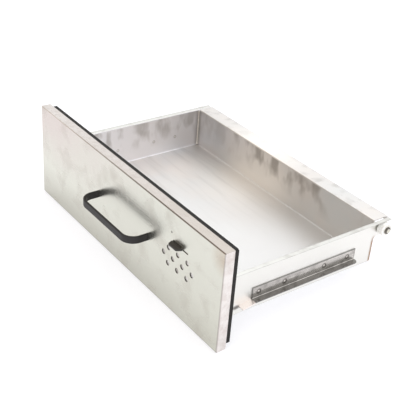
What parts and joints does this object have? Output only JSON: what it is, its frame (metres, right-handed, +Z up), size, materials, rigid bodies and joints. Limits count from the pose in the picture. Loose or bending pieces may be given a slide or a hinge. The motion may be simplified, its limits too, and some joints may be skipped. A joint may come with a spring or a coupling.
{
  "type": "sterilizer cabinet drawer",
  "caption": "Pull-out stainless drawer with a hollow sealed front, black strap handle, sliding vent, side rails and rear rollers.",
  "frame": {"origin": "centre of the whole drawer's bounding box in plan, level with the bottom edge of the front panel", "axes": "+X to the drawer's right as its user faces it, +Y from the front panel to the rear, +Z up, level as the drawer hangs in its cabinet"},
  "size_m": [0.6, 0.439, 0.19],
  "materials": {
    "face_steel": "satin",
    "tray_steel": "satin",
    "rail_steel": "semi-bright",
    "weld_metal": "as welded",
    "fastener_steel": "bright",
    "clip_steel": "blackened",
    "black_coating": "satin",
    "seal_rubber": "matt",
    "grip_plastic": "satin",
    "white_nylon": "satin",
    "mineral_wool": "matt"
  },
  "bodies": {
    "drawer": {"front_skin": "face_steel", "back_skin": "tray_steel", "insulation_board": "mineral_wool", "seal_bottom": "seal_rubber", "seal_right": "seal_rubber", "seal_top": "seal_rubber", "seal_left": "seal_rubber", "handle": "black_coating", "handle_studs": "fastener_steel", "handle_washers": "fastener_steel", "handle_nuts": "fastener_steel", "vent_guide_lower": "tray_steel", "vent_guide_upper": "tray_steel", "tray_shell": "tray_steel", "tray_rear_wall": "tray_steel", "tray_front_wall": "tray_steel", "corner_welds": "weld_metal", "panel_screws": "fastener_steel", "panel_nuts": "fastener_steel", "rail_left": "rail_steel", "rail_right": "rail_steel", "axle_left": "fastener_steel", "axle_right": "fastener_steel", "thrust_washer_left": "fastener_steel", "thrust_washer_right": "fastener_steel", "clip_left": "clip_steel", "clip_right": "clip_steel"},
    "vent_slide": {"vent_damper": "tray_steel", "vent_grip": "grip_plastic"},
    "left_roller": {"roller_left": "white_nylon"},
    "right_roller": {"roller_right": "white_nylon"}
  },
  "joints": [
    {"name": "vent_travel", "type": "slide", "parent": "drawer", "child": "vent_slide", "axis": [1, 0, 0], "range_m": [0, 0.0165]},
    {"name": "left_roller_spin", "type": "hinge", "parent": "drawer", "child": "left_roller", "pos_m": [-0.2796, 0.2005, 0.105], "axis": [1, 0, 0], "continuous": true},
    {"name": "right_roller_spin", "type": "hinge", "parent": "drawer", "child": "right_roller", "pos_m": [0.2796, 0.2005, 0.105], "axis": [1, 0, 0], "continuous": true}
  ]
}
